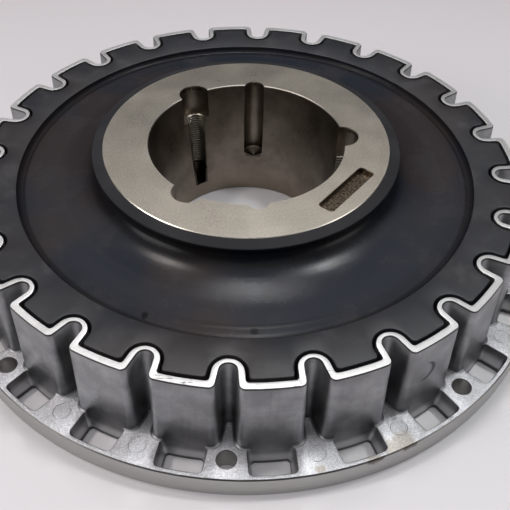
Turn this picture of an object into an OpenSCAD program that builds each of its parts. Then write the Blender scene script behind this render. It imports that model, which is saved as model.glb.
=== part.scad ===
// Plug-in flexible flywheel coupling: a die-cast ring with a corrugated toothed wall bolts to
// an engine flywheel, a toothed rubber disc plugs into it along the axis, and the disc is
// bonded to a hub that is bored for a tapered clamping bush.
// The origin is the centre of the ring's mounting face, and +Z is the coupling's axis.

/* [Flange ring] */
// Outside diameter of the flange, which centres the ring in the flywheel
flange_d = 466.72; // [440:0.01:520]
// Thickness of the flange plate
flange_t = 18; // [12:0.5:24]
// Height of the toothed wall above the mounting face
rim_h = 79; // [60:0.5:95]
// Number of mounting bolts
bolt_count = 8; // [6:1:10]
// Wall lobes from one bolt to the next
lobes_per_bolt = 3; // [2:1:3]
// Diameter of the bolt holes
bolt_hole_d = 13.5; // [8:0.1:15]
// Distance from the bolt circle to the edge of the flange
bolt_edge = 14.285; // [12:0.005:18]
// Angle of the first bolt hole
bolt_phase = 42.26; // [0:0.01:60]
// Chamfer of the flange's edges
flange_chamfer = 0.8; // [0.2:0.1:2]

/* [Toothed wall] */
// Distance from the bolt circle to the outside of the lobes at the rim
bolt_to_lobe = 9.8; // [8:0.1:14]
// Depth of the pockets that the rubber teeth plug into
pocket_depth = 17.2; // [13:0.1:20]
// Wall thickness across the face of a lobe
lobe_wall = 5.2; // [3:0.1:7]
// Wall thickness along the flanks
flank_wall = 4.4; // [3:0.1:5.5]
// Wall thickness at the tip of a notch
tip_wall = 3.3; // [2.5:0.1:5]
// Radius of the wall's bend at a notch, on the rubber side
bend_r = 10.1; // [9:0.1:12]
// Corner radius inside a pocket
pocket_corner_r = 2; // [1:0.1:4]
// Corner radius outside a lobe
lobe_corner_r = 4; // [2:0.1:6]
// Draft of the outside of the wall, in degrees
wall_draft = 1.5; // [0.5:0.1:2]
// Fillet at the foot of the wall
foot_fillet = 2; // [0.8:0.1:3]
// Chamfer of the outer edge of the rim
rim_chamfer = 0.5; // [0.2:0.1:1]

/* [Windows and pads] */
// Width of the window in front of a lobe, at the top of the flange
window_w = 30.6; // [22:0.1:34]
// Width of the strip outside a window
window_strip = 3.5; // [2.5:0.1:6]
// Draft of a window's sides, in degrees
window_side_draft = 9.5; // [3:0.5:14]
// Draft of a window's outer wall, in degrees
window_outer_draft = 6; // [2:0.5:12]
// Corner radius of a window at its outer edge
window_corner_r = 3; // [1.5:0.1:5]
// Corner radius of a window where its sides meet the wall
window_inner_r = 2.5; // [1:0.1:4]
// Diameter of the ejector pin marks on the pads without a bolt
ejector_mark_d = 11.6; // [6:0.1:13]
// Depth of the ejector pin marks
ejector_mark_depth = 0.4; // [0.2:0.1:1]

/* [Rubber disc] */
// Clearance between the rubber teeth and their pockets
tooth_fit = 0.3; // [0.2:0.05:0.6]
// Gap that shows around the teeth at the rim
tooth_gap = 2.2; // [1.5:0.1:4]
// Height of the lead-in over which that gap opens
tooth_lead = 22; // [10:1:35]
// Corner radius of the rubber teeth
tooth_corner_r = 2.6; // [1.5:0.1:4]
// Height of the disc's top face above the rim
disc_proud = 0.3; // [0:0.1:3]
// Height of the disc's lower face above the mounting face
disc_lift = 2; // [1:0.1:8]
// Width of the flat band between the tooth roots and the groove
band_w = 13; // [8:0.1:20]
// Depth of the groove inside the flat band
groove_depth = 5; // [4:0.1:9]
// Fillet between the groove's bottom and its outer wall
groove_fillet = 3.7; // [2:0.1:4]
// Slope of the groove's inner flank, in degrees
groove_flank = 20; // [14:1:30]
// Radius where that flank runs out into the dish's floor
groove_edge_r = 9; // [3:0.5:12]
// Depth of the dish's floor below the flat band
dish_depth = 2.3; // [1:0.1:3]
// Width of the dish's flat floor
dish_w = 11.6; // [8:0.1:16]
// Width of the rubber lip around the hub's face
lip_w = 7.8; // [5:0.1:12]
// Drop of the lip's top from the hub's face to its edge
lip_drop = 1.9; // [0.5:0.1:3]
// Thickness of the lip
lip_t = 3; // [2:0.1:5]
// Edge radius of the lip
lip_edge_r = 0.9; // [0.3:0.1:1.5]
// Undercut below the lip
lip_undercut = 4.3; // [2:0.1:6]
// Height of the neck below the lip
neck_h = 5; // [3:0.1:8]

/* [Hub] */
// Outside diameter of the hub
hub_d = 213; // [195:0.1:240]
// Length of the hub, from the mounting face
hub_l = 101.6; // [95:0.1:125]
// Large end of the tapered bore
bore_d = 146.05; // [110:0.01:160]
// Included angle of the tapered bore
bore_taper = 8; // [4:0.5:10]
// Chamfer of the hub's edges
hub_chamfer = 0.5; // [0.3:0.1:3]
// Angles of the half holes for the bush's clamping screws
screw_angles = [4.4, 125.3, 236.5]; // [0:0.1:360]
// Distance of these holes' axes inside the large end of the bore
screw_inset = 0.6; // [0:0.1:4]
// Diameter of the clamping screws' thread
screw_d = 15.9; // [10:0.1:18]
// Depth of the thread below the hub's face
screw_depth = 74; // [50:1:80]
// Diameter of the clearance at the thread's end
screw_relief_d = 14; // [8:0.1:15]
// Depth of that clearance below the hub's face
screw_relief_depth = 88.5; // [76:0.5:94]
// Diameter of the counterbore for a screw's head
screw_head_d = 24; // [18:0.5:30]
// Depth of the counterbore
screw_head_depth = 24; // [10:1:40]
// Angles of the half holes for the jacking screws
jack_angles = [85.2, 277]; // [0:0.1:360]
// Distance of these holes' axes inside the large end of the bore
jack_inset = 2.5; // [0:0.1:4]
// Diameter of the jacking holes
jack_d = 16; // [10:0.1:20]
// Depth of the jacking holes
jack_depth = 64.5; // [30:0.5:80]
// Angle of the cast pocket in the hub's face
pocket_angle = -38.5; // [-60:0.5:-20]
// Length of the cast pocket
pocket_l = 54; // [30:0.5:60]
// Width of the cast pocket
pocket_w = 12.5; // [8:0.1:14]
// Depth of the cast pocket
pocket_sink = 3.5; // [1:0.1:6]
// Corner radius of the cast pocket
pocket_r = 3; // [1:0.1:3.5]

/* [Hidden] */
$fn = 96;

// How far cutters reach past the faces that they open
over = 1;
// How far the chords of a fillet run on into the faces that it joins, as a share of a chord
run_on = 0.35;
// How far the windows' cutters reach into the wall's face
wall_bite = 0.25;

// Ring, worked from the flange's edge towards the axis
flange_r = flange_d / 2;
bolt_r = flange_r - bolt_edge;
lobe_count = bolt_count * lobes_per_bolt;
pitch = 360 / lobe_count;
half_pitch = pitch / 2;
lobe_r = bolt_r - bolt_to_lobe;
pocket_lobe_r = lobe_r - lobe_wall;
pocket_tip_r = pocket_lobe_r - pocket_depth;
bend_c = pocket_tip_r + bend_r;
notch_tip_r = pocket_tip_r + tip_wall;

// The notch's bend is tangent to a flank that lies flank_wall from the pocket's flank
notch_bend_r = (bend_r - flank_wall - (bend_c - notch_tip_r) * sin(half_pitch)) / (1 - sin(half_pitch));
notch_c = notch_tip_r + notch_bend_r;
draft_at_flange = (rim_h - flange_t) * tan(wall_draft);
fillet = min(foot_fillet, (notch_bend_r - draft_at_flange) / 2);

// Rubber disc
disc_top = rim_h + disc_proud;
root_r = pocket_tip_r - tooth_gap;
dish_r = root_r - band_w;
hub_r = hub_d / 2;
lip_r = hub_r + lip_w;
neck_r = lip_r - lip_undercut;
lip_top = hub_l - hub_chamfer;
lip_edge = lip_top - lip_drop;
join_r = (dish_r + root_r) / 2;
tooth_chamfer = tooth_gap / 3;

// Groove: the fillet's centre, the foot of the flank, and the flank's upper end and run-out,
// measured from the axis and from the flat band
fillet_c = [dish_r - groove_fillet, groove_fillet - groove_depth];
flank_foot = fillet_c - groove_fillet * [sin(groove_flank), cos(groove_flank)];
flank_end_z = -dish_depth - groove_edge_r * (1 - cos(groove_flank));
flank_end_r = flank_foot.x - (flank_end_z - flank_foot.y) / tan(groove_flank);
dish_edge_r = flank_end_r - groove_edge_r * sin(groove_flank);

// Hub
bore_r = bore_d / 2;
bore_slope = tan(bore_taper / 2);
drill_cone = 0.5;
drill_tip_d = 0.2;

// Segments of the small arcs, of a lobe's outer corners, of half a lobe's face and of the trumpet
arc_n = 4;
corner_n = 3;
face_n = 2;
sweep_n = 12;

// Points of an arc about c from angle a to angle b
function arc(c, r, a, b, n) =
    [for (i = [0:n]) let (t = a + (b - a) * i / n) [c.x + r * cos(t), c.y + r * sin(t)]];

// Points of an arc of an ellipse about c from angle a to angle b
function ellipse_arc(c, rx, ry, a, b, n) =
    [for (i = [0:n]) let (t = a + (b - a) * i / n) [c.x + rx * cos(t), c.y + ry * sin(t)]];

// A list of points turned by an angle, or mirrored in the X axis
function turned(pts, a) = [for (p = pts) [p.x * cos(a) - p.y * sin(a), p.x * sin(a) + p.y * cos(a)]];
function mirrored(pts) = [for (i = [len(pts) - 1:-1:0]) [pts[i].x, -pts[i].y]];
function part_of(pts, first, last) = [for (i = [first:last]) pts[i]];

// Centre of a lobe's corner, at corner_r inside the flank and inside the lobe's circle
function corner_centre(c, bend, lobe, corner_r) =
    let (
        along = [cos(half_pitch), sin(half_pitch)],
        start = [c, 0] + (bend + corner_r) * [-sin(half_pitch), cos(half_pitch)],
        reach = start * along
    )
    start + (sqrt(reach * reach - start * start + pow(lobe - corner_r, 2)) - reach) * along;

// Half of one pitch of the corrugated outline: bend, flank, corner and lobe.
// The flanks run parallel to the lobe's own centre line.
function half_wave(c, bend, lobe, corner_r) =
    let (k = corner_centre(c, bend, lobe, corner_r), end = atan2(k.y, k.x))
    concat(
        arc([c, 0], bend, 180, 90 + half_pitch, arc_n),
        arc(k, corner_r, half_pitch - 90, end, corner_n),
        part_of(arc([0, 0], lobe, end, half_pitch, face_n), 1, face_n)
    );

// The whole outline, one wave to each pitch
function wave_loop(c, bend, lobe, corner_r) =
    let (
        half = half_wave(c, bend, lobe, corner_r),
        last = len(half) - 1,
        wave = concat(mirrored(part_of(half, 1, last - 1)), half)
    )
    [for (i = [0:lobe_count - 1]) each turned(wave, bolt_phase + i * pitch)];

// Outline of the outside of the wall, grown by an offset
function wall_loop(grow) = wave_loop(notch_c, notch_bend_r - grow, lobe_r + grow, lobe_corner_r + grow);

// Outline of the pockets, and of the teeth inside them at a gap
function pocket_loop() = wave_loop(bend_c, bend_r, pocket_lobe_r, pocket_corner_r);
function tooth_loop(gap) = wave_loop(bend_c, bend_r + gap, pocket_lobe_r - gap, tooth_corner_r);

// Offset of the wall's outside at a height, from its draft
function draft_at(z) = (rim_h - z) * tan(wall_draft);

// A solid between outlines of equal length, each at its own height
module loft(loops, heights) {
    n = len(loops[0]);
    levels = len(loops);
    points = concat(
        [for (i = [0:levels - 1]) each [for (p = loops[i]) [p.x, p.y, heights[i]]]],
        [[0, 0, heights[0]], [0, 0, heights[levels - 1]]]
    );
    low = levels * n;
    sides = [for (i = [0:levels - 2]) each [for (j = [0:n - 1])
        [i * n + j, (i + 1) * n + j, (i + 1) * n + (j + 1) % n, i * n + (j + 1) % n]]];
    bottom = [for (j = [0:n - 1]) [low, j, (j + 1) % n]];
    top = [for (j = [0:n - 1]) [low + 1, (levels - 1) * n + (j + 1) % n, (levels - 1) * n + j]];
    polyhedron(points, concat(sides, bottom, top));
}

// The wall's outside, with its draft and the chamfer of its rim
module wall_body() {
    edge = rim_h - rim_chamfer;
    loft(
        [wall_loop(draft_at(0)), wall_loop(draft_at(edge)), wall_loop(-rim_chamfer)],
        [0, edge, rim_h]
    );
}

// Fillet from the pads up to the wall, in two chords that run on a little into both faces
module wall_foot() {
    mid = fillet * (1 - cos(45));
    rise = fillet - mid;
    loft(
        [
            wall_loop(draft_at_flange + fillet + run_on * rise),
            wall_loop(draft_at_flange + mid),
            wall_loop(draft_at_flange - run_on * mid)
        ],
        [flange_t - run_on * mid, flange_t + mid, flange_t + fillet + run_on * rise]
    );
}

// Outline of a window at a height above the mounting face, from the middle of its outer edge:
// outer corner, drafted side, inner corner and an arc just inside the wall's face
function window_loop(z) =
    let (
        half_w = window_w / 2 - (flange_t - z) * tan(window_side_draft),
        outer = flange_r - window_strip - (flange_t - z) * tan(window_outer_draft),
        inner = lobe_r + draft_at(z) - wall_bite,
        r = window_corner_r,
        f = window_inner_r,
        c = [sqrt(pow(outer - r, 2) - pow(half_w - r, 2)), half_w - r],
        k = [sqrt(pow(inner + f, 2) - pow(half_w - f, 2)), half_w - f],
        wall_a = atan2(k.y, k.x),
        half = concat(
            arc(c, r, atan2(c.y, c.x), 90, arc_n),
            arc(k, f, 90, 180 + wall_a, arc_n),
            part_of(arc([0, 0], inner, wall_a, 0, face_n), 1, face_n)
        )
    )
    concat([[outer, 0]], half, mirrored(part_of(half, 0, len(half) - 2)));

// Cutter for one window, along +X, tall enough to cut the wall's foot as well
module window_cutter() {
    heights = [-over, flange_t + foot_fillet + over];
    loops = [for (z = heights) window_loop(z)];
    n = len(loops[0]);
    points = [for (i = [0, 1]) each [for (p = loops[i]) [p.x, p.y, heights[i]]]];
    sides = [for (j = [0:n - 1]) [j, n + j, n + (j + 1) % n, (j + 1) % n]];
    bottom = [for (j = [1:n - 2]) [0, j, j + 1]];
    roof = [for (j = [1:n - 2]) [n, n + j + 1, n + j]];
    polyhedron(points, concat(sides, bottom, roof));
}

// Flange plate, still without its windows
module plate() {
    c = flange_chamfer;
    rotate_extrude()
        polygon([
            [0, 0], [flange_r - c, 0], [flange_r, c],
            [flange_r, flange_t - c], [flange_r - c, flange_t], [0, flange_t]
        ]);
}

// Die-cast ring: drilled flange, windows, and the corrugated wall
module flange_ring() {
    color("silver")
        difference() {
            union() {
                difference() {
                    union() {
                        plate();
                        wall_foot();
                    }
                    for (i = [0:lobe_count - 1])
                        rotate(bolt_phase + (i + 0.5) * pitch) window_cutter();
                }
                wall_body();
            }
            translate([0, 0, -over])
                linear_extrude(rim_h + 2 * over) polygon(pocket_loop());
            for (i = [0:lobe_count - 1])
                rotate(bolt_phase + i * pitch)
                    translate([bolt_r, 0, 0])
                        if (i % lobes_per_bolt == 0)
                            translate([0, 0, -over]) cylinder(d = bolt_hole_d, h = flange_t + 2 * over);
                        else
                            translate([0, 0, flange_t - ejector_mark_depth])
                                cylinder(d = ejector_mark_d, h = ejector_mark_depth + over);
        }
}

// Teeth of the rubber disc, which clear their pockets and open to a gap at the rim
module rubber_teeth() {
    lead_z = disc_top - tooth_lead;
    edge = disc_top - tooth_chamfer;
    difference() {
        loft(
            [
                tooth_loop(tooth_fit), tooth_loop(tooth_fit),
                tooth_loop(tooth_gap), tooth_loop(tooth_gap + tooth_chamfer)
            ],
            [disc_lift, lead_z, edge, disc_top]
        );
        translate([0, 0, disc_lift - over])
            cylinder(r = join_r - over, h = disc_top - disc_lift + 2 * over);
    }
}

// Outline of the groove from the flat band in to the dish's floor: the outer wall, its fillet,
// the sloping flank and the flank's run-out. The hidden face has the same groove, upside down.
function groove_line(band_z, side) =
    let (
        edge_c = [dish_edge_r, -dish_depth - groove_edge_r],
        line = concat(
            [[dish_r, 0]],
            arc(fillet_c, groove_fillet, 0, -90 - groove_flank, arc_n + 1),
            arc(edge_c, groove_edge_r, 90 - groove_flank, 90, arc_n)
        )
    )
    [for (p = line) [p.x, band_z + side * p.y]];

// Outline of the web from the dish's floor up to the hub
function trumpet_line(floor_z, end_z, inner_r) =
    let (outer_r = dish_edge_r - dish_w)
    ellipse_arc([outer_r, end_z], outer_r - inner_r, end_z - floor_z, 270, 180, sweep_n);

// Outline of the neck and the lip around the hub's face
function lip_line() =
    let (low = lip_edge - lip_t, r = lip_edge_r, slope = atan2(lip_drop, lip_w))
    concat(
        arc([neck_r + r, low - r], r, 180, 90, arc_n),
        arc([lip_r - r, low + r], r, -90, 0, arc_n),
        arc([lip_r - r, lip_edge - r], r, 0, 90 - slope, arc_n),
        [[hub_r, lip_top]]
    );

// Rubber between the hub and the tooth roots, as a solid of revolution
module rubber_web() {
    top_floor = disc_top - dish_depth;
    low_floor = disc_lift + dish_depth;
    top_groove = groove_line(disc_top, 1);
    low_groove = groove_line(disc_lift, -1);
    low_trumpet = trumpet_line(low_floor, hub_chamfer, hub_r);
    rotate_extrude()
        polygon(concat(
            [[join_r, disc_lift], [join_r, disc_top]],
            top_groove,
            trumpet_line(top_floor, lip_edge - lip_t - neck_h, neck_r),
            lip_line(),
            [for (i = [sweep_n:-1:0]) low_trumpet[i]],
            [for (i = [len(low_groove) - 1:-1:0]) low_groove[i]]
        ));
}

// Rubber disc, bonded on the hub and plugged into the ring
module rubber_disc() {
    color("#37373c")
        union() {
            rubber_web();
            rubber_teeth();
        }
}

// A drilled blind hole from the hub's face down, with the drill's cone at its end
module blind_hole(d, depth) {
    translate([0, 0, hub_l - depth]) cylinder(d = d, h = depth + over);
    tip = d * drill_cone / 2;
    translate([0, 0, hub_l - depth - tip]) cylinder(d1 = drill_tip_d, d2 = d, h = tip);
}

// Half hole for a clamping screw: counterbore, thread and the clearance below it
module screw_hole() {
    translate([0, 0, hub_l - screw_head_depth]) cylinder(d = screw_head_d, h = screw_head_depth + over);
    translate([0, 0, hub_l - screw_depth]) cylinder(d = screw_d, h = screw_depth);
    translate([0, 0, hub_l - screw_relief_depth]) cylinder(d = screw_relief_d, h = screw_relief_depth);
}

// Cast pocket in the hub's face, midway between the bore and the edge
module face_pocket() {
    rotate(pocket_angle)
        translate([(bore_r + hub_r) / 2, 0, hub_l - pocket_sink])
            linear_extrude(pocket_sink + over)
                union() {
                    square([pocket_w - 2 * pocket_r, pocket_l], center = true);
                    square([pocket_w, pocket_l - 2 * pocket_r], center = true);
                    for (x = [-1, 1], y = [-1, 1])
                        translate([x * (pocket_w / 2 - pocket_r), y * (pocket_l / 2 - pocket_r)])
                            circle(pocket_r);
                }
}

// Hub with its tapered bore, large end up
module hub() {
    c = hub_chamfer;
    low_r = bore_r - hub_l * bore_slope;
    color("#a5a094")
        difference() {
            rotate_extrude()
                polygon([
                    [low_r + c, 0], [hub_r - c, 0], [hub_r, c],
                    [hub_r, hub_l - c], [hub_r - c, hub_l], [bore_r + c, hub_l],
                    [bore_r - c * bore_slope, hub_l - c], [low_r + c * bore_slope, c]
                ]);
            for (a = screw_angles)
                rotate(a) translate([bore_r - screw_inset, 0, 0]) screw_hole();
            for (a = jack_angles)
                rotate(a) translate([bore_r - jack_inset, 0, 0]) blind_hole(jack_d, jack_depth);
            face_pocket();
        }
}

flange_ring();
rubber_disc();
hub();
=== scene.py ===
"""Looks of the drive coupling: die-cast toothed ring, rubber disc and iron hub."""

import math

import bmesh
import bpy
import numpy as np
from mathutils import Matrix, Vector
from mathutils.geometry import tessellate_polygon


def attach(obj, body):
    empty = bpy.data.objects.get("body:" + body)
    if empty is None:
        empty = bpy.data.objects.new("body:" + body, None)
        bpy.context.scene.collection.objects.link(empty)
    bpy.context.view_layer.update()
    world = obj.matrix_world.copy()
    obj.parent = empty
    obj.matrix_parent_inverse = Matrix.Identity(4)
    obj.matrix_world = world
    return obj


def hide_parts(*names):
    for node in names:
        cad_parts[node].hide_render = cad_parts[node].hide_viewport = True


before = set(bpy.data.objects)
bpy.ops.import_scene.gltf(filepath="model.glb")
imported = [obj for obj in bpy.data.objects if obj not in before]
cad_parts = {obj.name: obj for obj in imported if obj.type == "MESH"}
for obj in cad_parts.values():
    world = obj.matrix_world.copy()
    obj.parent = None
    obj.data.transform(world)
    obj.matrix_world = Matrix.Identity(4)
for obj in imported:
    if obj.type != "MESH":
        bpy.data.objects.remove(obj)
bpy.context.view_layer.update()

# Sizes in millimetres, the same as the solids'
MM = 0.001
FLANGE_R, FLANGE_T, RIM_H = 233.36, 18.0, 79.0
FLANGE_EDGE = 0.8
LOBES, LOBES_PER_BOLT = 24, 3
BOLT_PHASE = math.radians(42.26)
BOLT_R, BOLT_HOLE_R = 219.075, 6.75
MARK_R = 5.8
LOBE_R, LOBE_CORNER = 209.275, 4.0
POCKET_LOBE_R, POCKET_TIP_R, POCKET_CORNER = 204.075, 186.875, 2.0
BEND_R, FLANK_WALL, TIP_WALL = 10.1, 4.4, 3.3
WALL_DRAFT = math.tan(math.radians(1.5))
WINDOW_W, WINDOW_STRIP, WINDOW_CORNER = 30.6, 3.5, 3.0
WINDOW_SIDE_DRAFT = math.tan(math.radians(9.5))
WINDOW_OUTER_DRAFT = math.tan(math.radians(6.0))
WINDOW_INNER_R = 2.5
RIM_EDGE_W, RIM_EDGE_H, RIM_INNER_ROUND = 0.5, 0.9, 0.3
WINDOW_ROUND, FOOT_ROUND = 0.5, 1.6
TOOTH_FIT, TOOTH_GAP, TOOTH_LEAD, TOOTH_CORNER, TOOTH_ROUND = 0.3, 2.2, 22.0, 2.6, 0.6
DISC_TOP, DISC_LOW = 79.3, 2.0
BAND_W, DISH_DEPTH, DISH_W = 13.0, 2.3, 11.6
GROOVE_DEPTH, GROOVE_FILLET, GROOVE_FLANK, GROOVE_EDGE_R = 5.0, 3.7, 20.0, 9.0
HUB_R, HUB_L, HUB_EDGE = 106.5, 101.6, 0.5
LIP_R, NECK_R, NECK_H = 114.3, 110.0, 5.0
LIP_DROP, LIP_T, LIP_EDGE_R = 1.9, 3.0, 0.9
BORE_R, BORE_SLOPE = 73.025, math.tan(math.radians(4.0))
SCREW_ANGLES, SCREW_CIRCLE_R = (4.4, 125.3, 236.5), 72.425
SCREW_R, THREAD_CREST_R, THREAD_PITCH = 7.95, 6.8, 2.31
THREAD_TOP, THREAD_LOW = 24.0, 73.5
SCREW_END = 88.5
JACK_ANGLES, JACK_CIRCLE_R, JACK_R, JACK_DEPTH = (85.2, 277), 70.525, 8.0, 64.5
POCKET_NEAR_R, POCKET_DEPTH = 78.0, 4.0

PITCH = 2 * math.pi / LOBES
HALF = PITCH / 2
SIN_H, COS_H = math.sin(HALF), math.cos(HALF)
BEND_C = POCKET_TIP_R + BEND_R
NOTCH_TIP_R = POCKET_TIP_R + TIP_WALL
NOTCH_BEND = (BEND_R - FLANK_WALL - (BEND_C - NOTCH_TIP_R) * SIN_H) / (1 - SIN_H)
NOTCH_C = NOTCH_TIP_R + NOTCH_BEND
FOOT_DRAFT = (RIM_H - FLANGE_T) * WALL_DRAFT
FILLET = min(2.0, (NOTCH_BEND - FOOT_DRAFT) / 2)
ROOT_R = POCKET_TIP_R - TOOTH_GAP
DISH_R = ROOT_R - BAND_W
LIP_TOP = HUB_L - HUB_EDGE
FLANK_ANGLE = math.radians(GROOVE_FLANK)
GROOVE_ROUNDS = GROOVE_FILLET + GROOVE_EDGE_R
FLANK_RISE = GROOVE_DEPTH - DISH_DEPTH - GROOVE_ROUNDS * (1 - math.cos(FLANK_ANGLE))
FLANK_RUN = FLANK_RISE / math.tan(FLANK_ANGLE)
GROOVE_BENDS = GROOVE_ROUNDS * math.sin(FLANK_ANGLE)
DISH_EDGE_R = DISH_R - GROOVE_FILLET - GROOVE_BENDS - FLANK_RUN

# Marks of handling, each with its place and radius: smudges on the rim, stains on the flange's
# side and pads, a curved nick in one lobe, and small dimples in the rubber's groove
RIM_STAINS = ((-51, -202, 79, 5), (-43, -203, 79, 6), (-34, -204, 79, 5),
              (32, -205, 79, 5), (51, -196, 79, 3))
SIDE_STAINS = ((82, -218, 17, 5.5), (86, -217, 18, 4.5),
               (105, -208.5, 17.5, 4.5), (109, -206.5, 17.5, 4))
PAD_STAINS = ((102, -205, 18, 10), (94, -209, 18, 7), (82, -217, 18, 5), (48, -225, 18, 4))
WALL_NICK, WALL_NICK_INSIDE = (114.7, -176.1, 52.8, 9.5), (112.0, -177.9, 53.6, 9.5)
DISC_DIMPLES = ((6, -163, 75.5, 3.2), (-63, -151, 75.5, 3.0))

# Ring around an ejector mark: steps out from the mark and down from the pad
MARK_RING = ((0.25, 0.0), (0.0, 0.35), (-0.3, 0.4), (-0.75, 0.08))
BOLT_EDGE = 0.15

# How far the groove's flank is softened in its shading
FLANK_SOFT = 2.1

# Segments of the meshes, and numbers of the ring's finishes
N_ARC, N_NOTCH, N_LOBE, N_FAN, N_CORNER, N_THREAD = 14, 36, 8, 6, 6, 24
WALL, RIM, PAD, SIDE = 0, 1, 2, 3

# Lamps over the table: turn and rise from its middle in degrees, size in metres, power and colour
LAMP_REACH = 1.8
LAMPS = (
    ("lamp_left", 176, 66, (0.18, 0.12), 7.4, (1.0, 0.93, 0.88)),
    ("lamp_right", 16, 67, (0.2, 0.14), 9.2, (0.97, 1.0, 0.98)),
    ("lamp_middle", 86, 74, (0.14, 0.6), 8.4, (1.0, 1.0, 1.0)),
    ("lamp_side", 205, 30, (0.9, 0.6), 15.0, (1.0, 0.98, 0.96)),
    ("lamp_bounce", 338, 25, (0.8, 0.6), 7.0, (1.0, 1.0, 1.0)),
    ("lamp_front", 270, 66, (1.4, 0.9), 4.5, (1.0, 1.0, 1.0)),
)

# Glow of the room by the sine of the height above the horizon, and as the camera sees it
SKY = ((0.01, 0.05), (0.5, 0.05), (0.58, 0.16), (0.64, 0.75), (0.68, 1.28),
       (0.72, 0.92), (0.77, 0.47), (0.9, 0.28), (0.99, 0.3))
ROOM_TINT, ROOM_SEEN = (1.0, 0.985, 1.0, 1.0), 0.62

# Table in metres: its reach, how far it lies below the part, and where its far glow sets in
TABLE_REACH, TABLE_DROP = 20.0, 0.0002
FADE_NEAR, FADE_FAR, FADE_GLOW = 0.55, 2.2, 0.46

# Camera as fitted to the photograph, in metres, radians and pixels
CAMERA_DISTANCE, CAMERA_RISE = 0.655, 0.7635275
CAMERA_PAN, CAMERA_TILT, CAMERA_ROLL = -0.0124394, -0.0218331, -0.0108002
FOCAL_PX, PHOTO_PX = 781.99, 510


class Shell:
    """Faces gathered patch by patch, each with the number of its finish."""

    def __init__(self):
        self.points, self.faces, self.finish = [], [], []

    def add(self, points):
        first = len(self.points)
        self.points.extend(tuple(p) for p in points)
        return list(range(first, len(self.points)))

    def grid(self, rows, finish=0):
        ids = [self.add(row) for row in rows]
        for low, high in zip(ids, ids[1:]):
            for i in range(len(low) - 1):
                self.faces.append((low[i], low[i + 1], high[i + 1], high[i]))
                self.finish.append(finish)

    def flat(self, loop, finish=0):
        ids = self.add(loop)
        for triangle in tessellate_polygon([[Vector(p) for p in loop]]):
            self.faces.append(tuple(ids[i] for i in triangle))
            self.finish.append(finish)


def on_circle(r, angles):
    """Points on a circle, at angles in degrees."""
    return [(r * math.cos(math.radians(a)), r * math.sin(math.radians(a))) for a in angles]


def arc(cx, cy, r, a, b, n):
    t = np.radians(np.linspace(a, b, n + 1))
    return np.column_stack([cx + r * np.cos(t), cy + r * np.sin(t)])


def at_height(points, z):
    return np.column_stack([points, np.full(len(points), z)])


def resample(points, n):
    """n even steps along a line of points."""
    steps = np.linalg.norm(np.diff(points, axis=0), axis=1)
    along = np.concatenate([[0], np.cumsum(steps)])
    want = np.linspace(0, along[-1], n + 1)
    return np.column_stack([np.interp(want, along, points[:, k]) for k in range(points.shape[1])])


def half_wave(c, bend, lobe, corner):
    """Half of one pitch of the outline: bend, flank, corner and lobe."""
    along = np.array([COS_H, SIN_H])
    start = np.array([c, 0.0]) + (bend + corner) * np.array([-SIN_H, COS_H])
    reach = start @ along
    k = start + (math.sqrt(reach**2 - start @ start + (lobe - corner) ** 2) - reach) * along
    end = math.degrees(math.atan2(k[1], k[0]))
    half = math.degrees(HALF)
    return np.vstack([
        arc(c, 0, bend, 180, 90 + half, N_ARC),
        arc(k[0], k[1], corner, half - 90, end, N_ARC),
        arc(0, 0, lobe, end, half, N_ARC)[1:],
    ])


def wall_outline(grow):
    return half_wave(NOTCH_C, NOTCH_BEND - grow, LOBE_R + grow, LOBE_CORNER + grow)


def pocket_outline(grow):
    return half_wave(BEND_C, BEND_R - grow, POCKET_LOBE_R + grow, POCKET_CORNER + grow)


def tooth_outline(gap):
    return half_wave(BEND_C, BEND_R + gap, POCKET_LOBE_R - gap, TOOTH_CORNER)


def split_at(outline, half_w):
    """The outline up to a distance from the lobe's middle line, and the rest of it."""
    away = outline[:, 0] * SIN_H - outline[:, 1] * COS_H
    i = int(np.argmax(away < half_w))
    t = (away[i - 1] - half_w) / (away[i - 1] - away[i])
    cut = outline[i - 1] + t * (outline[i] - outline[i - 1])
    notch = resample(np.vstack([outline[:i], cut]), N_NOTCH)
    return notch, resample(np.vstack([cut, outline[i:]]), N_LOBE)


def whole(outline, half_w):
    notch, lobe = split_at(outline, half_w)
    return np.vstack([notch, lobe[1:]])


def draft_at(z):
    return (RIM_H - z) * WALL_DRAFT


def window_half(z):
    return WINDOW_W / 2 - max(FLANGE_T - z, 0) * WINDOW_SIDE_DRAFT


def to_sector(local):
    """Points along and away from a lobe's middle line, turned into the half pitch."""
    x, away = local[:, 0], local[:, 1]
    return np.column_stack([x * COS_H + away * SIN_H, x * SIN_H - away * COS_H])


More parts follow.
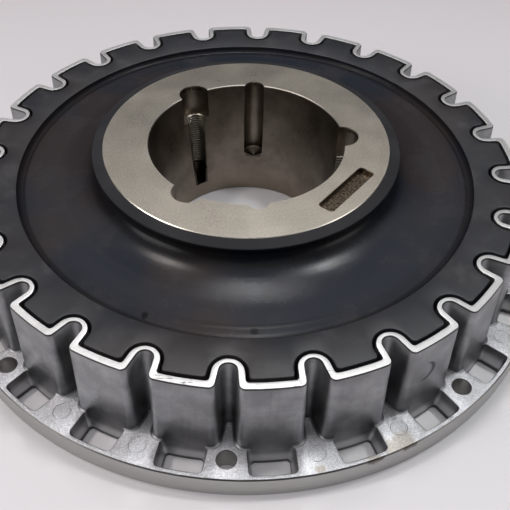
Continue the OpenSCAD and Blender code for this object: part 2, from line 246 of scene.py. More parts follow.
class Window:
    """A window's outline at one height: wall corner, side, outer corner and outer edge."""

    def __init__(self, z, grow=0.0, swell=0.0):
        self.z = z
        self.half_w = window_half(z) + grow + swell
        self.outer = FLANGE_R - WINDOW_STRIP - (FLANGE_T - z) * WINDOW_OUTER_DRAFT + grow + swell
        self.wall = LOBE_R + draft_at(z) - swell
        self.r = WINDOW_INNER_R + swell
        self.corner = WINDOW_CORNER + grow + swell
        away = self.half_w - self.r
        self.centre = (math.sqrt((self.wall + self.r) ** 2 - away**2), away)
        self.turn = math.degrees(math.atan2(away, self.centre[0]))
        self.wall_away = self.wall * away / (self.wall + self.r)

    def corner_angle(self, foot):
        """Where the wall corner meets the foot of the wall, as that stands out from the wall."""
        far = self.wall + self.r
        k = ((self.wall + foot) ** 2 - far**2 - self.r**2) / (2 * far * self.r)
        return self.turn + math.degrees(math.acos(max(-1.0, k)))

    def wall_corner(self, end, start=None, n=N_CORNER):
        start = 180 + self.turn if start is None else start
        return to_sector(arc(*self.centre, self.r, start, end, n))

    def line(self, mid):
        """The whole edge, from the wall round to the lobe's middle line, by way of a corner angle."""
        away = self.half_w - self.corner
        x = math.sqrt((self.outer - self.corner) ** 2 - away**2)
        end = math.degrees(math.atan2(away, x))
        bend = to_sector(arc(x, away, self.corner, 90, end, 6))
        edge = to_sector(arc(0, 0, self.outer, end, 0, 8))
        near = self.wall_corner(mid)
        rest = self.wall_corner(90, mid, 4)
        side = resample(np.vstack([rest[-1], bend[0]]), 6)
        return np.vstack([near, rest[1:], side[1:-1], bend, edge[1:]])


def round_steps(n):
    return [math.pi / 2 * i / n for i in range(n + 1)]


def wall_rows(shell):
    """The wall from its rim down to the fillet, the fillet, and the fillet's end at the window."""
    knee = FLANGE_T + FILLET
    cut = Window(knee, WINDOW_ROUND).wall_away
    upper = [at_height(whole(wall_outline(-RIM_EDGE_W), cut), RIM_H)]
    for z in np.linspace(RIM_H - RIM_EDGE_H, knee, 5):
        upper.append(at_height(whole(wall_outline(draft_at(z)), cut), z))
    shell.grid(upper, WALL)

    foot, ends, inner = [], [], []
    for t in round_steps(6):
        z = knee - FILLET * math.sin(t)
        out = FILLET * (1 - math.cos(t))
        window = Window(z, WINDOW_ROUND)
        end = window.wall_corner(window.corner_angle(out))
        away = end[-1][0] * SIN_H - end[-1][1] * COS_H
        line = split_at(wall_outline(draft_at(z) + out), away)[0]
        line[-1] = end[-1]
        foot.append(at_height(line, z))
        ends.append(at_height(end, z))
        inner.append(at_height(split_at(wall_outline(draft_at(z)), window.wall_away)[1], z))
        inner[-1][0] = ends[-1][0]
    foot[0], inner[0] = upper[-1][:N_NOTCH + 1], upper[-1][N_NOTCH:]
    ends[0][:] = foot[0][-1]
    shell.grid(foot, WALL)
    shell.grid(ends, WALL)
    return upper[0], foot[-1], inner


def window_rows(shell, inner):
    """The window's rounded edge and drafted sides, with the wall's face behind it."""
    levels = []
    for t in round_steps(4):
        z = FLANGE_T - WINDOW_ROUND * (1 - math.cos(t))
        levels.append(Window(z, WINDOW_ROUND * (1 - math.sin(t))))
    for z in np.linspace(FLANGE_T - WINDOW_ROUND, FOOT_ROUND, 4)[1:]:
        levels.append(Window(z))
    for t in round_steps(5)[1:]:
        levels.append(Window(FOOT_ROUND * (1 - math.sin(t)), swell=FOOT_ROUND * (1 - math.cos(t))))
    mid = levels[0].corner_angle(FILLET)
    rows = []
    for i, window in enumerate(levels):
        rows.append(at_height(window.line(mid), window.z))
        if i:
            lobe = split_at(wall_outline(window.wall - LOBE_R), window.wall_away)[1]
            lobe[0] = rows[-1][0][:2]
            inner.append(at_height(lobe, window.z))
    shell.grid(inner, WALL)
    shell.grid(rows, WALL)
    return rows[0], rows[-1], inner[-1]


def hole_rows(shell, bolt):
    """A bolt hole, or the ring that an ejector pin leaves, as half of it; gives the pad's edge."""
    if bolt:
        r, e = BOLT_HOLE_R, BOLT_EDGE
        levels = [(r + e, FLANGE_T), (r, FLANGE_T - e), (r, e), (r + e, 0)]
    else:
        levels = [(MARK_R + out, FLANGE_T - down) for out, down in MARK_RING]
    rows = [at_height(arc(BOLT_R, 0, radius, 0, 180, 20), z) for radius, z in levels]
    shell.grid(rows, SIDE if bolt else PAD)
    if not bolt:
        shell.flat(rows[-1], PAD)
    return rows[0], rows[-1]


def flange_rows(shell):
    """The flange's outer edge, from its top round to its underside."""
    profile = [(FLANGE_R - FLANGE_EDGE, FLANGE_T), (FLANGE_R, FLANGE_T - FLANGE_EDGE),
               (FLANGE_R, FLANGE_T / 2), (FLANGE_R, FLANGE_EDGE), (FLANGE_R - FLANGE_EDGE, 0)]
    rows = [at_height(arc(0, 0, r, math.degrees(HALF), 0, N_FAN), z) for r, z in profile]
    shell.grid(rows, SIDE)
    return rows[0], rows[-1]


def ring_half(bolt):
    """Half a pitch of the ring, from the middle of a notch to the middle of a lobe."""
    shell = Shell()
    rim_outer, foot, inner = wall_rows(shell)
    window_top, window_low, wall_low = window_rows(shell, inner)
    hole_top, hole_low = hole_rows(shell, bolt)
    edge_top, edge_low = flange_rows(shell)

    pocket_cut = WINDOW_W / 2 - 1
    inside = []
    for t in round_steps(3):
        z = RIM_H - RIM_INNER_ROUND * (1 - math.cos(t))
        outline = pocket_outline(RIM_INNER_ROUND * (1 - math.sin(t)))
        inside.append(at_height(whole(outline, pocket_cut), z))
    for z in np.linspace(RIM_H - RIM_INNER_ROUND, 0, 6)[1:]:
        inside.append(at_height(whole(pocket_outline(0), pocket_cut), z))
    shell.grid(inside, WALL)
    shell.grid([inside[0], (inside[0] + rim_outer) / 2, rim_outer], RIM)

    shell.flat(np.vstack([foot, window_top[N_CORNER + 1:], edge_top, hole_top]), PAD)
    hole = hole_low if bolt else np.empty((0, 3))
    shell.flat(np.vstack([inside[-1], wall_low[::-1], window_low[1:], edge_low, hole]), SIDE)
    return shell


def around(shells):
    """One mesh from half pitches: each is mirrored and turned to all its places."""
    points, faces, finish, count = [], [], [], 0
    for i in range(LOBES):
        shell = shells[i % len(shells)]
        base = np.array(shell.points, float)
        turn = BOLT_PHASE + i * PITCH
        c, s = math.cos(turn), math.sin(turn)
        for side in (1, -1):
            x, y = base[:, 0], base[:, 1] * side
            points.append(np.column_stack([x * c - y * s, x * s + y * c, base[:, 2]]))
            faces.extend(tuple(v + count for v in f) for f in shell.faces)
            finish.extend(shell.finish)
            count += len(base)
    return np.vstack(points) * MM, faces, finish


def make_piece(name, points, faces, finish, materials, sharp):
    """A closed mesh with smooth faces and sharp edges, riding on the coupling."""
    mesh = bpy.data.meshes.new(name)
    mesh.from_pydata([tuple(p) for p in points], [], faces)
    mesh.polygons.foreach_set("material_index", np.array(finish, np.int32))
    work = bmesh.new()
    work.from_mesh(mesh)
    bmesh.ops.remove_doubles(work, verts=work.verts, dist=2e-6)
    bmesh.ops.dissolve_degenerate(work, edges=work.edges, dist=1e-7)
    bmesh.ops.recalc_face_normals(work, faces=work.faces)
    work.to_mesh(mesh)
    work.free()
    mesh.shade_smooth()
    mesh.set_sharp_from_angle(angle=math.radians(sharp))
    for material in materials:
        mesh.materials.append(material)
    piece = bpy.data.objects.new(name, mesh)
    bpy.context.scene.collection.objects.link(piece)
    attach(piece, "root")
    return piece


def make_ring(materials):
    shells = [ring_half(i == 0) for i in range(LOBES_PER_BOLT)]
    points, faces, finish = around(shells)
    ring = make_piece("toothed_ring", points, faces, finish, materials, 32)
    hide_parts("flange_ring")
    return ring


def groove_line():
    """The groove from the flat band in to the dish's floor, as radius and depth below the band."""
    fillet_z = GROOVE_FILLET - GROOVE_DEPTH
    return np.vstack([
        [(DISH_R + 0.6, 0), (DISH_R + 0.18, -0.18), (DISH_R, -0.6)],
        arc(DISH_R - GROOVE_FILLET, fillet_z, GROOVE_FILLET, 0, -90 - GROOVE_FLANK, 12),
        arc(DISH_EDGE_R, -DISH_DEPTH - GROOVE_EDGE_R, GROOVE_EDGE_R, 90 - GROOVE_FLANK, 90, 8),
    ])


def trumpet_line(floor_z, end_z, inner_r):
    outer_r = DISH_EDGE_R - DISH_W
    t = np.radians(np.linspace(270, 180, 33))
    r = outer_r + (outer_r - inner_r) * np.cos(t)
    return np.column_stack([r, end_z + (end_z - floor_z) * np.sin(t)])


def lip_line():
    """Neck, lip and the lip's sloping top, in to the hub."""
    edge = LIP_TOP - LIP_DROP
    low, r = edge - LIP_T, LIP_EDGE_R
    slope = math.degrees(math.atan2(LIP_DROP, LIP_R - HUB_R))
    return np.vstack([
        arc(NECK_R + r, low - r, r, 180, 90, 4),
        arc(LIP_R - r, low + r, r, -90, 0, 4),
        arc(LIP_R - r, edge - r, r, 0, 90 - slope, 6),
        [(HUB_R + 0.05, LIP_TOP)],
    ])


def disc_face():
    """Upper face of the rubber from the band in to the hub, as radius and height."""
    top = trumpet_line(DISC_TOP - DISH_DEPTH, LIP_TOP - LIP_DROP - LIP_T - NECK_H, NECK_R)
    return np.vstack([groove_line() + (0, DISC_TOP), top, lip_line()])


def disc_underside():
    """Hidden face of the rubber, from the hub out to the band."""
    low = trumpet_line(DISC_LOW + DISH_DEPTH, HUB_EDGE, HUB_R + 0.05)[::-1]
    return np.vstack([low, (groove_line() * (1, -1) + (0, DISC_LOW))[::-1]])


def disc_half():
    """Half a pitch of the rubber disc."""
    shell = Shell()
    half = math.degrees(HALF)
    web = np.vstack([disc_face(), disc_underside()])
    rows = [at_height(arc(0, 0, r, 0, half, N_FAN), z) for r, z in web]
    shell.grid(rows)
    edge = TOOTH_ROUND
    lead_z = DISC_TOP - TOOTH_LEAD
    levels = [(TOOTH_GAP + edge * (1 - math.sin(t)), DISC_TOP - edge * (1 - math.cos(t)))
              for t in round_steps(4)]
    levels += [(TOOTH_FIT + (TOOTH_GAP - TOOTH_FIT) * k, lead_z + (DISC_TOP - edge - lead_z) * k)
               for k in (0.66, 0.33, 0.0)]
    levels += [(TOOTH_FIT, DISC_LOW + 1.2), (TOOTH_FIT + 0.4, DISC_LOW + 0.35),
               (TOOTH_FIT + 1.2, DISC_LOW)]
    teeth = [at_height(whole(tooth_outline(gap), WINDOW_W / 2 - 5), z) for gap, z in levels]
    shell.grid(teeth)
    shell.flat(np.vstack([rows[0], teeth[0][::-1]]))
    shell.flat(np.vstack([rows[-1], teeth[-1][::-1]]))
    return shell


def make_disc(material):
    points, faces, finish = around([disc_half()])
    disc = make_piece("rubber_spider", points, faces, finish, [material], 38)
    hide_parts("rubber_disc")
    return disc


def thread_span(depth, r):
    """Half the angle over which the hub's iron stands around a screw hole, at a depth and radius."""
    bore = BORE_R - depth * BORE_SLOPE
    k = (bore**2 - SCREW_CIRCLE_R**2 - r**2) / (2 * SCREW_CIRCLE_R * r)
    return math.acos(max(-1.0, min(1.0, k)))


def thread_turn(cx, cy, turn):
    """One turn of the ridge around a hole's axis, as four rows from its root over its crest."""
    a = math.atan2(cy, cx)
    root, crest = SCREW_R + 0.12, THREAD_CREST_R
    rows = []
    for share, r in ((0.08, root), (0.42, crest), (0.58, crest), (0.92, root)):
        depth = THREAD_TOP + THREAD_PITCH * (turn + share)
        span = thread_span(depth, crest) - 0.03
        row = []
        for i in range(N_THREAD + 1):
            t = -span + 2 * span * i / N_THREAD
            z = HUB_L - depth - THREAD_PITCH * t / (2 * math.pi)
            row.append((cx + r * math.cos(a + t), cy + r * math.sin(a + t), z))
        rows.append(row)
    return rows


def make_threads(material):
    """Screw thread on the iron side of each half hole: one ridge that winds down the hole."""
    shell = Shell()
    turns = int((THREAD_LOW - THREAD_TOP) / THREAD_PITCH)
    for cx, cy in on_circle(SCREW_CIRCLE_R, SCREW_ANGLES):
        for turn in range(turns):
            rows = thread_turn(cx, cy, turn)
            shell.grid(rows + [rows[0]])
            for end in (0, -1):
                shell.flat([row[end] for row in rows])
    points = np.array(shell.points) * MM
    threads = make_piece("screw_threads", points, shell.faces, shell.finish, [material], 25)
    return threads


class Look:
    """A procedural material: small helpers around its nodes."""

    def __init__(self, name, **constants):
        self.material = bpy.data.materials.new(name)
        self.material.use_nodes = True
        self.tree = self.material.node_tree
        self.shader = self.tree.nodes["Principled BSDF"]
        self.place = self.node("ShaderNodeTexCoord").outputs["Object"]
        for socket, value in constants.items():
            self.shader.inputs[socket.replace("_", " ")].default_value = value

    def node(self, kind, **settings):
        made = self.tree.nodes.new(kind)
        for key, value in settings.items():
            setattr(made, key, value)
        return made

    def put(self, socket, value):
        if isinstance(value, bpy.types.NodeSocket):
            self.tree.links.new(value, socket)
        else:
            socket.default_value = value

    def out(self, socket, value):
        self.put(self.shader.inputs[socket], value)

    def noise(self, scale, detail=3.0, rough=0.55, place=None, stretch=(1, 1, 1)):
        mapping = self.node("ShaderNodeMapping")
        mapping.inputs["Scale"].default_value = stretch
        self.put(mapping.inputs["Vector"], place or self.place)
        noise = self.node("ShaderNodeTexNoise")
        for key, value in (("Scale", scale), ("Detail", detail), ("Roughness", rough)):
            noise.inputs[key].default_value = value
        self.put(noise.inputs["Vector"], mapping.outputs["Vector"])
        return noise.outputs["Fac"]

    def spots(self, scale, place=None):
        cells = self.node("ShaderNodeTexVoronoi", feature="F1")
        cells.inputs["Scale"].default_value = scale
        self.put(cells.inputs["Vector"], place or self.place)
        return cells.outputs["Distance"]

    def math(self, operation, a, b=0.0, c=0.0):
        made = self.node("ShaderNodeMath", operation=operation)
        for socket, value in zip(made.inputs, (a, b, c)):
            self.put(socket, value)
        return made.outputs[0]

    def times(self, a, b):
        return self.math("MULTIPLY", a, b)

    def plus(self, a, b):
        return self.math("ADD", a, b)

    def less(self, a, b):
        return self.math("SUBTRACT", a, b)

    def most(self, a, b):
        return self.math("MAXIMUM", a, b)

    def length(self, x, y):
        return self.math("SQRT", self.plus(self.times(x, x), self.times(y, y)))

    def span(self, value, low, high, to_low=0.0, to_high=1.0):
        made = self.node("ShaderNodeMapRange", interpolation_type="SMOOTHSTEP")
        for key, v in (("Value", value), ("From Min", low), ("From Max", high),
                       ("To Min", to_low), ("To Max", to_high)):
            self.put(made.inputs[key], v)
        return made.outputs["Result"]

    def mix(self, share, a, b):
        made = self.node("ShaderNodeMix", data_type="RGBA")
        for socket, value in ((made.inputs["Factor"], share), (made.inputs[6], a), (made.inputs[7], b)):
            self.put(socket, value)
        return made.outputs[2]

    def axes(self):
        split = self.node("ShaderNodeSeparateXYZ")
        self.put(split.inputs[0], self.place)
        return split.outputs

    def polar(self):
        """Radius, angle and height of a point, in metres and turns, as a vector."""
        x, y, z = self.axes()
        radius = self.length(x, y)
        angle = self.math("DIVIDE", self.math("ARCTAN2", y, x), 2 * math.pi)
        made = self.node("ShaderNodeCombineXYZ")
        for socket, value in zip(made.inputs, (radius, angle, z)):
            self.put(socket, value)
        return radius, made.outputs[0]

    def bump(self, height, strength, distance, below=None):
        made = self.node("ShaderNodeBump")
        made.inputs["Strength"].default_value = strength
        made.inputs["Distance"].default_value = distance
        self.put(made.inputs["Height"], height)
        if below:
            self.put(made.inputs["Normal"], below)
        return made.outputs["Normal"]

    def posts(self, places, radius):
        """1 inside upright posts of one radius in mm, each given by its axis."""
        x, y, _ = self.axes()
        nearest = None
        for px, py in places:
            away = self.length(self.less(x, px * MM), self.less(y, py * MM))
            nearest = away if nearest is None else self.math("MINIMUM", nearest, away)
        return self.span(nearest, (radius + 0.3) * MM, radius * MM)

    def spot(self, places, soft=0.5, rag=0.9):
        """1 at any of the places, each a point and a radius in mm, falling to 0 over a ragged edge."""
        ragged = self.times(self.noise(260, 3), rag)
        edge = 1 + rag / 2
        shares = []
        for x, y, z, radius in places:
            away = self.node("ShaderNodeVectorMath", operation="DISTANCE")
            self.put(away.inputs[0], self.place)
            away.inputs[1].default_value = (x * MM, y * MM, z * MM)
            reach = self.math("DIVIDE", away.outputs["Value"], radius * MM)
            shares.append(self.span(self.plus(reach, ragged), edge, edge - soft))
        most = shares[0]
        for share in shares[1:]:
            most = self.most(most, share)
        return most


def tone(r, g, b):
    """A screen colour as a linear one."""
    shares = [c / 255 for c in (r, g, b)]
    return tuple(((s + 0.055) / 1.055) ** 2.4 if s > 0.04 else s / 12.92 for s in shares) + (1.0,)


def wall_look():
    """Satin die-cast aluminium of the wall: smooth, faintly cloudy, with vertical drag marks; painted
    light low in the windows, and painted shade above the flange, at the wall's foot and on the rim's
    chamfer.
    """
    look = Look("satin_casting", Metallic=1.0)
    z = look.axes()[2]
    cloud = look.noise(38, 4, 0.6)
    drag = look.noise(1.0, 3, 0.6, stretch=(420, 420, 14))
    layers = look.noise(1.0, 2, 0.5, stretch=(30, 30, 380))
    base = look.mix(look.span(cloud, 0.35, 0.7), tone(134, 134, 136), tone(168, 168, 170))
    base = look.mix(look.span(drag, 0.5, 0.8, 0, 0.3), base, tone(112, 112, 116))
    base = look.mix(look.span(layers, 0.55, 0.8, 0, 0.12), base, tone(204, 204, 206))
    # Painted light: low in the windows the wall is mixed towards pale grey, standing in for light from
    # the table.
    painted_window_light = look.span(z, 14 * MM, 8 * MM, 0, 0.4)
    above = look.span(z, 8 * MM, 14 * MM)
    # Painted shade: just above the flange the wall is mixed towards dark grey.
    painted_low_shade = look.times(above, look.span(z, 50 * MM, 26 * MM, 0, 0.42))
    base = look.mix(painted_low_shade, base, tone(92, 92, 95))
    base = look.mix(painted_window_light, base, tone(214, 214, 216))
    # Painted shade: a dark line at the wall's foot in the windows, where it meets the table; the same
    # dark grey also colours the nick, a real mark.
    foot = look.span(z, 4.8 * MM, 2.6 * MM, 0, 0.9)
    outside = look.less(1.0, look.spot([WALL_NICK_INSIDE], 0.2, 0.1))
    nick = look.times(look.spot([WALL_NICK], 0.2, 0.1), outside)
    base = look.mix(look.most(foot, look.times(nick, 0.9)), base, tone(52, 52, 54))
    # Painted shade: the rim's chamfer and a thin band under it are darkened to a dark line.
    painted_chamfer_shade = look.span(z, (RIM_H - RIM_EDGE_H - 0.25) * MM, (RIM_H - RIM_EDGE_H) * MM)
    look.out("Base Color", look.mix(look.times(painted_chamfer_shade, 0.85), base, tone(64, 62, 62)))
    look.out("Roughness", look.span(cloud, 0.3, 0.75, 0.38, 0.5))
    grain = look.noise(900, 2)
    normal = look.bump(grain, 0.16, 0.0006)
    look.out("Normal", look.bump(look.noise(60, 2), 0.12, 0.004, normal))
    return look.material


def rim_look():
    """Rim skimmed flat in the lathe: bright, with fine turned lines, a few stains, and painted light on
    its left and far sides.
    """
    look = Look("turned_rim", Metallic=1.0)
    polar = look.polar()[1]
    lines = look.noise(1.0, 2, place=polar, stretch=(2600, 6, 0))
    scuffs = look.span(look.noise(1.0, 4, 0.7, stretch=(190, 760, 0)), 0.5, 0.66)
    stain = look.times(look.spot(RIM_STAINS), scuffs)
    patches = look.span(look.noise(55, 3), 0.56, 0.74, 0, 0.35)
    x, y, _ = look.axes()
    # Painted light: the rim's left and far sides are mixed towards near-white.
    bright = look.most(look.span(x, 0.0, -0.14, 0, 0.9), look.span(y, 0.06, 0.2, 0, 0.6))
    grain = look.span(look.noise(900, 3, 0.7), 0.48, 0.68, 0, 0.35)
    base = look.mix(lines, tone(182, 182, 182), tone(208, 208, 208))
    base = look.mix(bright, base, tone(233, 232, 232))
    base = look.mix(grain, base, tone(160, 160, 160))
    base = look.mix(patches, base, tone(180, 179, 176))
    look.out("Base Color", look.mix(look.times(stain, 0.85), base, tone(46, 43, 42)))
    look.out("Roughness", look.span(lines, 0.3, 0.7, 0.34, 0.46))
    look.out("Normal", look.bump(lines, 0.08, 0.0003))
    return look.material


def pad_look():
    """Bright granular skin of the casting on the pads and the strip outside the windows."""
    look = Look("granular_casting", Metallic=0.75)
    speck = look.noise(1300, 4, 0.75)
    coarse = look.noise(90, 3)
    base = look.mix(look.span(speck, 0.36, 0.64), tone(150, 151, 156), tone(206, 206, 210))
    base = look.mix(look.span(coarse, 0.5, 0.8, 0, 0.4), base, tone(176, 177, 181))
    stain = look.times(look.spot(PAD_STAINS), 0.5)
    look.out("Base Color", look.mix(stain, base, tone(138, 124, 102)))
    look.out("Roughness", look.span(coarse, 0.3, 0.7, 0.34, 0.48))
    look.out("Normal", look.bump(speck, 0.35, 0.0006))
    return look.material


def side_look():
    """Turned outer edge and underside of the flange: warm grey, fine lines round the axis, a stain, and
    painted shade along the top edge.
    """
    look = Look("turned_side", Metallic=1.0)
    polar = look.polar()[1]
    z = look.axes()[2]
    lines = look.noise(1.0, 3, place=polar, stretch=(900, 3, 2200))
    cloud = look.noise(18, 3)
    base = look.mix(lines, tone(166, 165, 163), tone(190, 189, 187))
    base = look.mix(look.span(cloud, 0.5, 0.75, 0, 0.4), base, tone(168, 164, 158))
    # Painted shade: a dark line along the flange's top edge.
    edge = look.span(z, (FLANGE_T - FLANGE_EDGE - 0.2) * MM, (FLANGE_T - FLANGE_EDGE) * MM)
    base = look.mix(look.times(edge, 0.8), base, tone(70, 68, 66))
    stain = look.spot(SIDE_STAINS)
    look.out("Base Color", look.mix(look.times(stain, 0.75), base, tone(66, 54, 40)))
    look.out("Roughness", look.span(lines, 0.25, 0.75, 0.3, 0.44))
    look.out("Normal", look.bump(lines, 0.1, 0.0004))
    return look.material


def rubber_zones(look, radius):
    """Shares of the band, the groove's flank, painted shade at the groove's bottom, the lip's top, and
    painted shade under the lip together with the dimples.
    """
    z = look.axes()[2]
    band = look.span(radius, (DISH_R - 0.2) * MM, (DISH_R + 0.4) * MM)
    flank = look.less(look.span(radius, (DISH_EDGE_R - 2) * MM, (DISH_EDGE_R + 2) * MM), band)
    # Painted shade: a dark strip at the bottom of the groove, next to the band.
    painted_groove_shade = look.less(look.span(radius, (DISH_R - 6.2) * MM, (DISH_R - 4.6) * MM), band)
    near_lip = look.span(radius, (LIP_R + 0.3) * MM, (LIP_R - 0.3) * MM)
    # Painted shade: under the lip's edge the trumpet is darkened, fading outwards; the dimples are
    # small dark marks in the groove.
    near_neck = look.span(radius, (LIP_R + 8) * MM, (LIP_R - 1) * MM, 0, 0.7)
    edge = LIP_TOP - LIP_DROP
    lip = look.times(near_lip, look.span(z, (edge - 1.0) * MM, (edge - 0.4) * MM))
    painted_neck_shade = look.times(near_neck, look.less(1.0, lip))
    neck_shade_and_dimples = look.most(painted_neck_shade, look.times(look.spot(DISC_DIMPLES), 0.7))
    return band, flank, painted_groove_shade, lip, neck_shade_and_dimples


def rubber_colour(look, zones, flow, smear):
    """Brown-black and blue-black rubber, with a hazy band, a greyer lip, a painted brown reflection on
    the groove's flank, and painted shade in the groove and under the lip.
    """
    band, flank, painted_groove_shade, lip, neck_shade_and_dimples = zones
    hue = look.noise(9, 2, 0.5)
    dust = look.noise(420, 2)
    base = look.mix(look.span(hue, 0.42, 0.58), tone(37, 33, 34), tone(25, 29, 37))
    base = look.mix(look.span(smear, 0.45, 0.7, 0, 0.6), base, tone(44, 42, 45))
    base = look.mix(look.span(flow, 0.5, 0.8, 0, 0.25), base, tone(46, 43, 43))
    base = look.mix(look.span(dust, 0.68, 0.8, 0, 0.15), base, tone(70, 68, 66))
    base = look.mix(look.times(band, 0.5), base, tone(19, 17, 20))
    haze = look.times(band, look.span(look.noise(48, 6, 0.7), 0.5, 0.7, 0, 0.4))
    base = look.mix(haze, base, tone(58, 56, 59))
    # Painted reflection: the groove's flank is tinted a lighter brown, standing in for the warm room it
    # reflects.
    base = look.mix(look.times(flank, 0.12), base, tone(52, 47, 46))
    # Painted shade at the groove's bottom.
    base = look.mix(look.times(painted_groove_shade, 0.55), base, tone(14, 12, 13))
    grey = look.mix(look.span(smear, 0.35, 0.65), tone(36, 36, 39), tone(43, 43, 45))
    # Painted shade under the lip, and the dimples, mixed towards near-black.
    return look.mix(neck_shade_and_dimples, look.mix(lip, base, grey), tone(9, 9, 11))


def rubber_look():
    """Moulded black rubber: a glossy dish and web, a duller band and lip, smears from handling."""
    look = Look("moulded_rubber", Metallic=0.0, IOR=1.5)
    radius, polar = look.polar()
    flow = look.noise(1.0, 3, place=polar, stretch=(260, 4, 160))
    smear = look.noise(24, 4, 0.6)
    zones = rubber_zones(look, radius)
    band, flank, painted_groove_shade, lip, neck_shade_and_dimples = zones
    look.out("Base Color", rubber_colour(look, zones, flow, smear))

    gloss = look.plus(look.span(smear, 0.3, 0.75, 0.22, 0.29), look.times(flow, 0.03))
    dull = look.plus(look.span(smear, 0.3, 0.75, 0.42, 0.52), look.times(lip, 0.2))
    share = look.times(look.most(band, lip), look.less(dull, gloss))
    look.out("Roughness", look.plus(gloss, share))

    matt = look.most(look.most(lip, neck_shade_and_dimples), look.times(painted_groove_shade, 0.5))
    shine = look.less(look.plus(0.19, look.times(band, 0.23)), look.times(flank, 0.07))
    look.out("Specular IOR Level", look.times(shine, look.span(matt, 0, 1, 1.0, 0.3)))

    fine = look.bump(look.noise(700, 2), 0.06, 0.0006)
    roll = look.span(radius, DISH_EDGE_R * MM, (DISH_R - GROOVE_FILLET) * MM)
    soft = look.bump(roll, 1.0, FLANK_SOFT * MM, fine)
    look.out("Normal", look.bump(flow, 0.06, 0.0012, soft))
    return look.material


def thread_look():
    """Iron of the screw threads: oiled and mottled."""
    look = Look("thread_iron", Metallic=1.0)
    mottle = look.noise(120, 3)
    base = look.mix(look.span(mottle, 0.35, 0.7), tone(108, 102, 94), tone(130, 124, 114))
    look.out("Base Color", base)
    look.out("Roughness", look.span(mottle, 0.3, 0.75, 0.34, 0.46))
    return look.material


def hub_face(look, radius, mottle, grain, turned):
    """Warm grey face of the hub, a little brighter along its edges: some wear, and a painted highlight.
    """
    face = look.mix(look.span(mottle, 0.35, 0.7), tone(172, 165, 153), tone(180, 173, 161))
    face = look.mix(look.span(grain, 0.4, 0.65, 0, 0.45), face, tone(204, 198, 187))
    face = look.mix(look.span(turned, 0.5, 0.8, 0, 0.3), face, tone(206, 202, 192))
    # Painted highlight, with some wear: thin rings at the bore's and the face's edges are mixed towards
    # near-white.
    inner = look.span(radius, (BORE_R + 1.1) * MM, (BORE_R + 0.6) * MM)
    outer = look.span(radius, (HUB_R - 1.1) * MM, (HUB_R - 0.6) * MM)
    return look.mix(look.times(look.most(inner, outer), 0.25), face, tone(232, 228, 220))


def hub_holes(look, z):
    """Share of painted shade in the screw holes and at the tips of the jacking holes."""
    below_head = look.span(z, (HUB_L - THREAD_TOP) * MM, (HUB_L - THREAD_TOP - 1) * MM)
    above_end = look.span(z, (HUB_L - SCREW_END - 0.2) * MM, (HUB_L - SCREW_END) * MM)
    screws = look.posts(on_circle(SCREW_CIRCLE_R, SCREW_ANGLES), SCREW_R + 0.2)
    # Painted shade: the screw holes below the head and the cones of the jacking holes are darkened.
    painted_screw_shade = look.times(screws, look.times(below_head, above_end))
    tip, end = HUB_L - JACK_DEPTH, HUB_L - JACK_DEPTH - JACK_R / 2
    tip_top = look.span(z, (tip + 6) * MM, tip * MM)
    tip_low = look.span(z, (end - 0.2) * MM, end * MM)
    cone = look.posts(on_circle(JACK_CIRCLE_R, JACK_ANGLES), JACK_R - 1.2)
    painted_tip_shade = look.times(cone, look.times(tip_top, tip_low))
    return look.most(look.times(painted_screw_shade, 0.8), look.times(painted_tip_shade, 0.6))


def hub_bore(look, radius, z, mottle, grain):
    """Darker iron of the bore, painted lighter towards its bottom, with the pocket's rough floor and
    painted shade in the holes.
    """
    bore = look.mix(look.span(mottle, 0.35, 0.7), tone(106, 98, 89), tone(138, 130, 119))
    # Painted light: the bore is mixed lighter towards its bottom, standing in for light from the pale
    # table below.
    low = look.span(z, 30 * MM, 4 * MM)
    bore = look.mix(look.times(low, 0.5), bore, tone(170, 158, 142))
    outside = look.span(radius, POCKET_NEAR_R * MM, (POCKET_NEAR_R + 0.5) * MM)
    floor = HUB_L - POCKET_DEPTH
    sunk = look.times(outside, look.span(z, (floor - 0.2) * MM, floor * MM))
    rough = look.mix(look.span(grain, 0.4, 0.6), tone(58, 49, 40), tone(108, 97, 84))
    bore = look.mix(sunk, bore, rough)
    # Painted shade in the holes, mixed towards dark brown.
    return look.mix(hub_holes(look, z), bore, tone(38, 33, 30))


def hub_look():
    """Cast iron, turned: warm grey face with a painted highlight along its edges, a darker bore painted
    lighter towards its bottom, and painted shade in the holes.
    """
    look = Look("turned_iron", Metallic=1.0)
    z = look.axes()[2]
    radius, polar = look.polar()
    turned = look.noise(1.0, 3, place=polar, stretch=(1500, 3, 900))
    mottle = look.noise(30, 5, 0.62)
    grain = look.noise(650, 3, 0.7)
    face = hub_face(look, radius, mottle, grain, turned)
    bore = hub_bore(look, radius, z, mottle, grain)
    on_face = look.span(z, (HUB_L - 1.6) * MM, (HUB_L - 0.3) * MM)
    look.out("Base Color", look.mix(on_face, bore, face))
    look.out("Roughness", look.span(mottle, 0.3, 0.75, 0.27, 0.35))
    pits = look.bump(grain, 0.12, 0.0007)
    look.out("Normal", look.bump(turned, 0.1, 0.0004, pits))
    return look.material


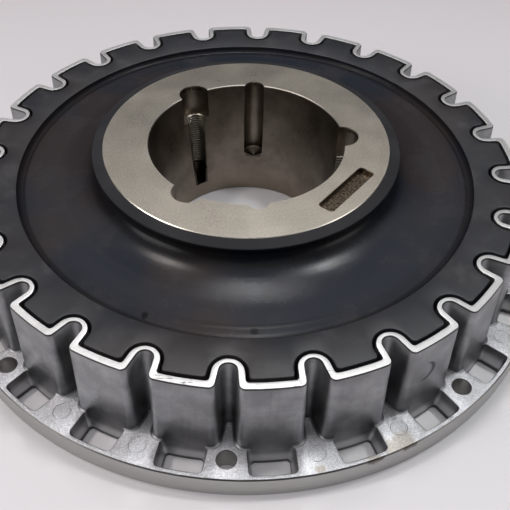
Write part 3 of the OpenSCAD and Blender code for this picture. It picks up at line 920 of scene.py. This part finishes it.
def floor_look():
    """Pale table, with painted light below the windows; far off it looks as pale to the camera as the
    room.
    """
    look = Look("pale_table", Roughness=0.5, Emission_Color=ROOM_TINT)
    y = look.axes()[1]
    seen = look.node("ShaderNodeLightPath").outputs["Is Camera Ray"]
    radius = look.polar()[0]
    far = look.span(radius, FADE_NEAR, FADE_FAR, 0, FADE_GLOW)
    look.out("Emission Strength", look.times(far, seen))
    pale = look.mix(look.noise(1.5, 2), tone(183, 181, 184), tone(190, 188, 192))
    # Painted light: the table under the windows is paler, so the windows look bright.
    painted_light_under = look.less(look.span(radius, 0.15, 0.19), look.span(radius, 0.2295, 0.232))
    pale = look.mix(painted_light_under, pale, tone(230, 228, 231))
    look.out("Base Color", look.mix(look.span(y, 0.1, 0.5), pale, tone(182, 177, 181)))
    return look.material


def make_camera():
    """The photograph's camera, fitted to the coupling's circles."""
    place = CAMERA_DISTANCE * Vector((0, -math.cos(CAMERA_RISE), math.sin(CAMERA_RISE)))
    ahead = -place.normalized()
    right = Vector((1, 0, 0))
    up = right.cross(ahead)
    turn = Matrix.Rotation(CAMERA_PAN, 3, up)
    ahead, right = turn @ ahead, turn @ right
    turn = Matrix.Rotation(CAMERA_TILT, 3, right)
    ahead, up = turn @ ahead, turn @ up
    turn = Matrix.Rotation(CAMERA_ROLL, 3, ahead)
    right, up = turn @ right, turn @ up
    data = bpy.data.cameras.new("camera")
    data.sensor_width, data.sensor_fit = 36.0, "HORIZONTAL"
    data.lens = FOCAL_PX / PHOTO_PX * data.sensor_width
    data.clip_start, data.clip_end = 0.01, 50
    camera = bpy.data.objects.new("camera", data)
    basis = Matrix((right, up, -ahead)).transposed().to_4x4()
    camera.matrix_world = Matrix.Translation(place) @ basis
    bpy.context.scene.collection.objects.link(camera)
    bpy.context.scene.camera = camera


def make_lamp(name, place, size, power, colour):
    data = bpy.data.lights.new(name, "AREA")
    data.shape, data.size, data.size_y = "RECTANGLE", size[0], size[1]
    data.energy, data.color = power, colour
    lamp = bpy.data.objects.new(name, data)
    lamp.location = place
    lamp.rotation_euler = (-place).to_track_quat("-Z", "Y").to_euler()
    bpy.context.scene.collection.objects.link(lamp)


def make_studio():
    """Pale table, a pale world and soft lamps."""
    mesh = bpy.data.meshes.new("table")
    r = TABLE_REACH
    corners = [(-r, -r, 0), (r, -r, 0), (r, r, 0), (-r, r, 0)]
    mesh.from_pydata(corners, [], [(0, 1, 2, 3)])
    mesh.materials.append(floor_look())
    table = bpy.data.objects.new("table", mesh)
    table.location.z = -TABLE_DROP
    bpy.context.scene.collection.objects.link(table)
    make_world()
    for name, turn, rise, size, power, colour in LAMPS:
        a, e = math.radians(turn), math.radians(rise)
        place = LAMP_REACH * Vector((math.cos(a) * math.cos(e), math.sin(a) * math.cos(e), math.sin(e)))
        make_lamp(name, place, size, power, colour)


def make_world():
    """A pale room, lighter overhead, whose near side behind the camera is dark."""
    world = bpy.data.worlds.new("studio")
    world.use_nodes = True
    bpy.context.scene.world = world
    tree = world.node_tree
    ground = tree.nodes["Background"]

    def made(kind, **inputs):
        node = tree.nodes.new(kind)
        for key, value in inputs.items():
            socket = node.inputs[key.replace("_", " ")]
            if isinstance(value, bpy.types.NodeSocket):
                tree.links.new(value, socket)
            else:
                socket.default_value = value
        return node

    way = made("ShaderNodeSeparateXYZ", Vector=made("ShaderNodeTexCoord").outputs["Generated"])
    rise = made("ShaderNodeValToRGB", Fac=way.outputs["Z"])
    stops = rise.color_ramp.elements
    for height, glow in SKY:
        stop = stops.new(height)
        stop.color = (glow, glow, glow, 1.0)
    stops.remove(stops[-1])
    stops.remove(stops[0])
    near = made("ShaderNodeMapRange", Value=way.outputs["Y"], From_Min=-0.35, From_Max=-0.75,
                To_Min=1.0, To_Max=0.08)
    light = tree.nodes.new("ShaderNodeMath")
    light.operation = "MULTIPLY"
    tree.links.new(rise.outputs[0], light.inputs[0])
    tree.links.new(near.outputs[0], light.inputs[1])
    by_camera = made("ShaderNodeLightPath").outputs["Is Camera Ray"]
    seen = made("ShaderNodeMix", Factor=by_camera, A=light.outputs[0], B=ROOM_SEEN)
    ground.inputs["Color"].default_value = ROOM_TINT
    tree.links.new(seen.outputs["Result"], ground.inputs["Strength"])


make_camera()
make_studio()
make_ring([wall_look(), rim_look(), pad_look(), side_look()])
make_disc(rubber_look())
make_threads(thread_look())
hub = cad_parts["hub"]
hub.data.materials.clear()
hub.data.materials.append(hub_look())
bpy.context.scene.view_settings.view_transform = "Standard"
